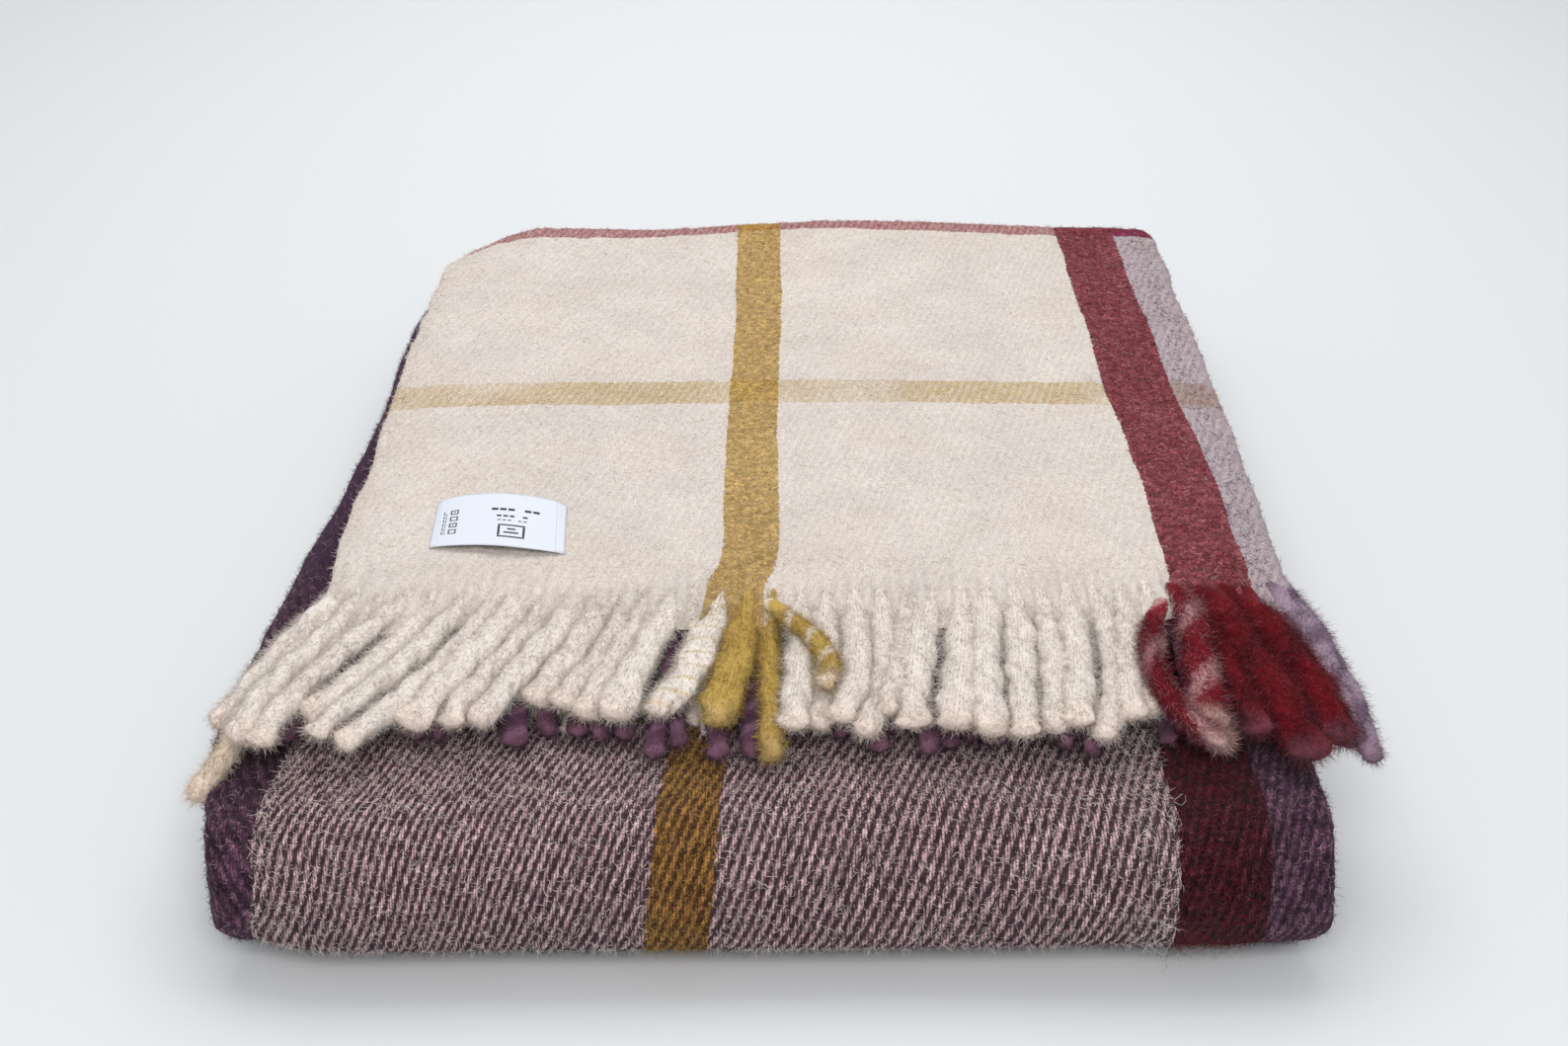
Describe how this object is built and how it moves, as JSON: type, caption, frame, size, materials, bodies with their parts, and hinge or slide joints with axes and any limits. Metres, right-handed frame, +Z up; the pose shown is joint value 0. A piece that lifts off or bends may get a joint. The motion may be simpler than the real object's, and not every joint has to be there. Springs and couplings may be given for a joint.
{
  "type": "camp blanket",
  "caption": "Woven wool plaid throw with twisted fringe ends and a small sewn-in label, folded into a flat stack.",
  "frame": {"origin": "middle of the base, on the surface that the folded throw rests on", "axes": "+Z up through the plies, -Y towards the front fold and the fringe, +X towards the right lengthwise fold"},
  "size_m": [0.4496, 0.571, 0.0945],
  "materials": {
    "wool_plaid": "brushed wool twill, cream and purple plaid with mustard and burgundy stripes",
    "wool_cream": "felted cream wool",
    "wool_mustard": "felted mustard wool",
    "wool_burgundy": "felted burgundy wool",
    "wool_purple": "felted purple wool",
    "label": "smooth woven satin ribbon",
    "thread": "white sewing thread"
  },
  "bodies": {
    "root": {"cloth": "wool_plaid", "tassel_01": "wool_cream", "tassel_02": "wool_cream", "tassel_03": "wool_cream", "tassel_04": "wool_cream", "tassel_05": "wool_cream", "tassel_06": "wool_cream", "tassel_07": "wool_cream", "tassel_08": "wool_cream", "tassel_09": "wool_cream", "tassel_10": "wool_cream", "tassel_11": "wool_cream", "tassel_12": "wool_cream", "tassel_13": "wool_cream", "tassel_14": "wool_cream", "tassel_15": "wool_mustard", "tassel_16": "wool_mustard", "tassel_17": "wool_cream", "tassel_18": "wool_cream", "tassel_19": "wool_cream", "tassel_20": "wool_cream", "tassel_21": "wool_cream", "tassel_22": "wool_cream", "tassel_23": "wool_cream", "tassel_24": "wool_cream", "tassel_25": "wool_cream", "tassel_26": "wool_cream", "tassel_27": "wool_cream", "tassel_28": "wool_cream", "tassel_29": "wool_cream", "tassel_30": "wool_cream", "tassel_31": "wool_cream", "tassel_32": "wool_burgundy", "tassel_33": "wool_burgundy", "tassel_34": "wool_burgundy", "tassel_35": "wool_purple", "tassel_36": "wool_purple", "fringe_second_ply": "wool_purple", "fringe_third_ply": "wool_purple", "hidden_fringe_ply_1": "wool_purple", "hidden_fringe_ply_2": "wool_purple", "hidden_fringe_ply_3": "wool_purple", "label": "label", "label_stitches_left": "thread", "label_stitches_right": "thread"}
  },
  "joints": []
}
